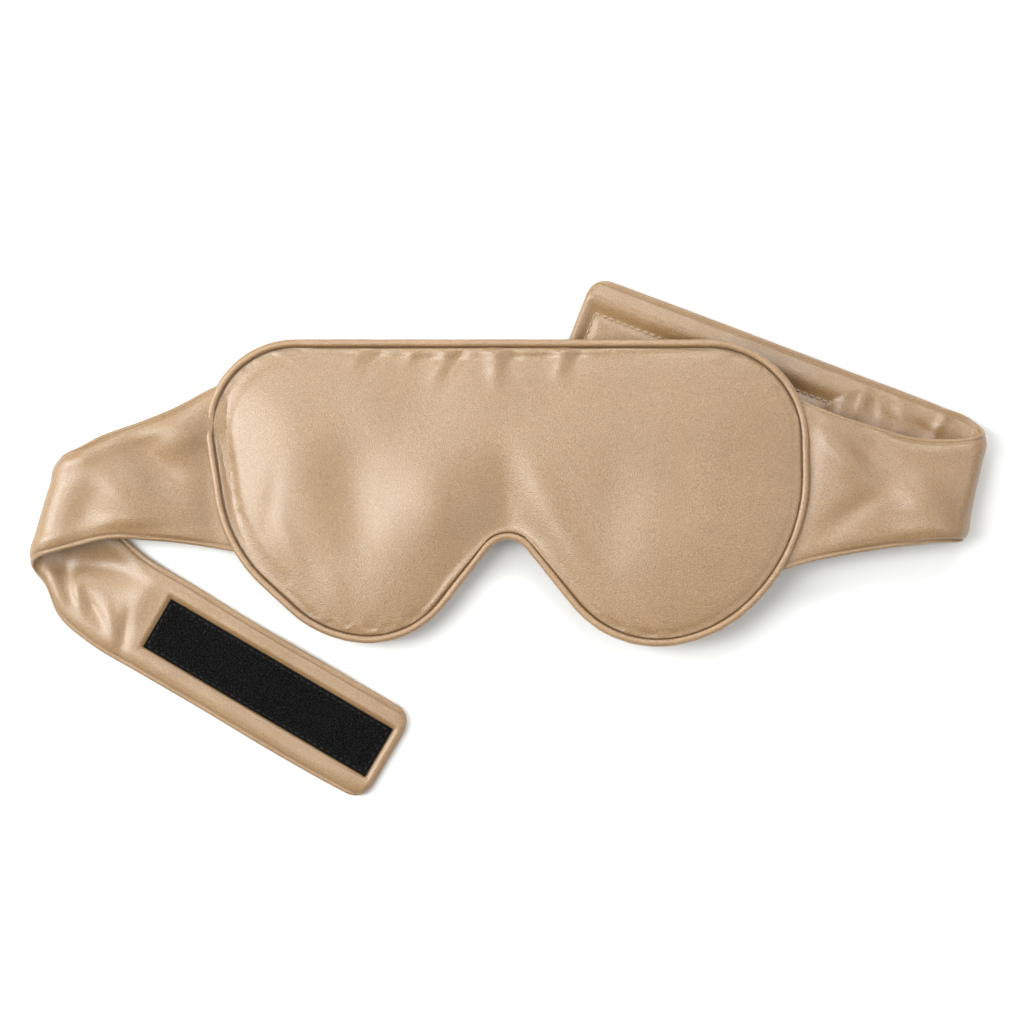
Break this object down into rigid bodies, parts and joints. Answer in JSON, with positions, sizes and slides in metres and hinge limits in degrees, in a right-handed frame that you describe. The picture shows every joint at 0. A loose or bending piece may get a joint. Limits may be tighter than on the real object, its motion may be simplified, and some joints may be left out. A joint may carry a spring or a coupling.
{
  "type": "padded eye mask",
  "caption": "Padded satin eye mask with a nose notch, piped edge and two wrap-around straps that fold under and close with hook-and-loop tape.",
  "frame": {"origin": "below the middle of the whole object as it lies with both straps folded under, on the surface that it rests on", "axes": "+X towards the wearer's left, along the longest side; +Y towards the forehead; +Z out of the mask's front, away from the face"},
  "size_m": [0.3459, 0.1859, 0.0215],
  "materials": {
    "silk": "champagne satin-weave silk, smooth glossy side out",
    "piping_silk": "bias strip of the same champagne satin, wrapped round a cord",
    "wadding": "white fibre wadding",
    "lining_felt": "dense black needled felt",
    "cord_cotton": "twisted cotton piping cord",
    "thread": "champagne polyester sewing thread",
    "tape_backing": "black woven nylon tape",
    "hook_nylon": "black nylon monofilament hooks",
    "loop_pile": "black brushed nylon loop pile"
  },
  "bodies": {
    "mask": {"front_panel": "silk", "back_panel": "silk", "front_wadding": "wadding", "back_wadding": "wadding", "blackout_lining": "lining_felt", "piping": "piping_silk", "piping_cord": "cord_cotton", "cover_seam_thread": "thread"},
    "left_wing": {"left_wing_outer_silk": "silk", "left_wing_inner_silk": "silk", "left_wing_wadding": "wadding"},
    "left_tail": {"left_fold_outer_silk": "silk", "left_fold_wadding": "wadding", "left_fold_inner_silk": "silk", "left_tail_outer_silk": "silk", "left_tail_inner_silk": "silk", "left_tail_wadding": "wadding", "hook_tape": "tape_backing", "hook_field": "hook_nylon", "hook_tape_stitching": "thread"},
    "right_wing": {"right_wing_outer_silk": "silk", "right_wing_inner_silk": "silk", "right_wing_wadding": "wadding"},
    "right_tail": {"right_fold_outer_silk": "silk", "right_fold_wadding": "wadding", "right_fold_inner_silk": "silk", "right_tail_outer_silk": "silk", "right_tail_inner_silk": "silk", "right_tail_wadding": "wadding", "loop_tape": "tape_backing", "loop_pile": "loop_pile", "loop_tape_stitching": "thread"}
  },
  "joints": [
    {"name": "left_seam", "type": "hinge", "parent": "mask", "child": "left_wing", "pos_m": [-0.1122, 0.0387, 0.0068], "axis": [-0.1305, 0.9914, 0], "range_deg": [-60, 60]},
    {"name": "left_fold", "type": "hinge", "parent": "left_wing", "child": "left_tail", "pos_m": [-0.1606, 0.0087, 0.007], "axis": [0.2419, 0.9703, 0], "range_deg": [0, 180], "deforming": ["left_fold_outer_silk", "left_fold_wadding", "left_fold_inner_silk"]},
    {"name": "right_seam", "type": "hinge", "parent": "mask", "child": "right_wing", "pos_m": [0.1105, 0.0265, 0.0147], "axis": [-0.0663, -0.9978, 0], "range_deg": [0, 60]},
    {"name": "right_fold", "type": "hinge", "parent": "right_wing", "child": "right_tail", "pos_m": [0.1619, 0.02095, 0.007], "axis": [-0.2215, -0.9751, 0], "range_deg": [0, 180], "deforming": ["right_fold_outer_silk", "right_fold_wadding", "right_fold_inner_silk"]}
  ]
}
